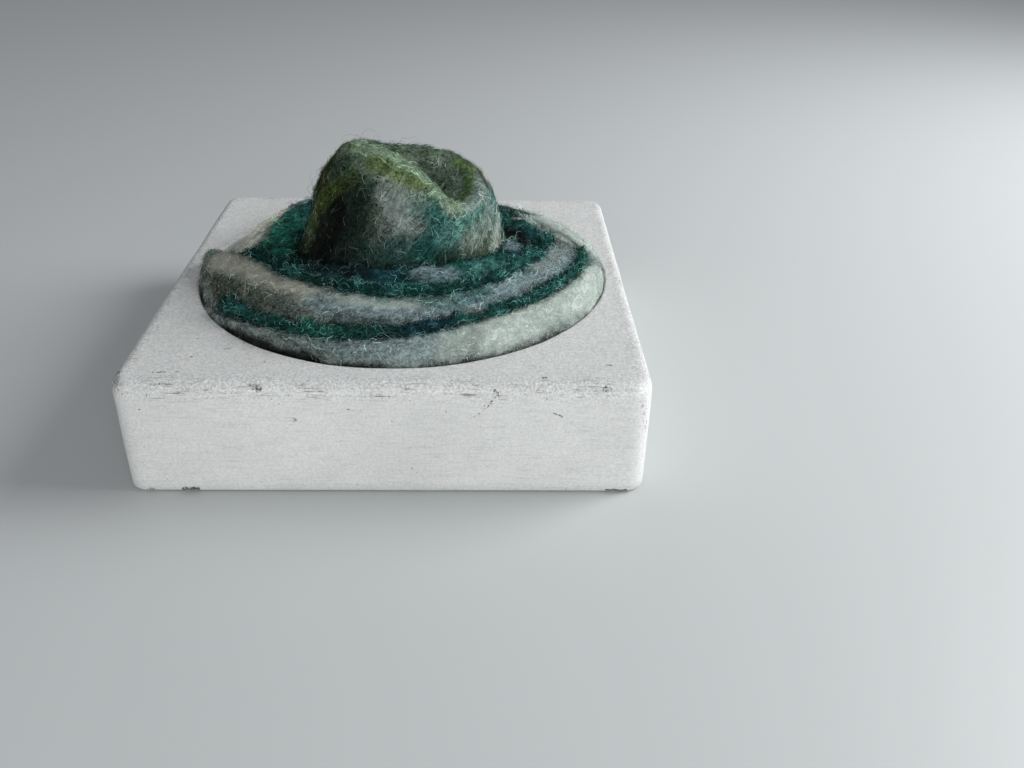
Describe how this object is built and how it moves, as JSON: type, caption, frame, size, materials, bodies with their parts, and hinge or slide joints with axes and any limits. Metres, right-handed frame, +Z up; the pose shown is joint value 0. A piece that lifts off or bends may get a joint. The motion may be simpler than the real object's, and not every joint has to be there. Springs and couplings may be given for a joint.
{
  "type": "small felt hat on a display block",
  "caption": "Small felted-wool hat with a pinched, dented crown and a thick rolled brim, resting in the round recess of a square painted wooden block.",
  "frame": {"origin": "middle of the block's underside", "axes": "+Z up through the hat's crown, +X to the hat's right side as shown, +Y to its back; the strand of wool and the grey roll lie across the front"},
  "size_m": [0.1012, 0.1012, 0.056],
  "materials": {
    "painted_wood": "matte white paint with faint brush marks, specks and rubbed edges",
    "felt_green": "felted wool, mottled teal, grey and olive, with loose hairs",
    "felt_teal": "curly dark teal wool",
    "felt_grey": "felted wool, mottled lilac grey and beige",
    "felt_white": "felted wool, off-white going to grey"
  },
  "bodies": {
    "root": {"display_block": "painted_wood", "crown": "felt_green", "inner_roll": "felt_teal", "middle_roll": "felt_grey", "outer_roll": "felt_white", "outer_strand": "felt_teal", "inner_strand": "felt_teal"}
  },
  "joints": []
}
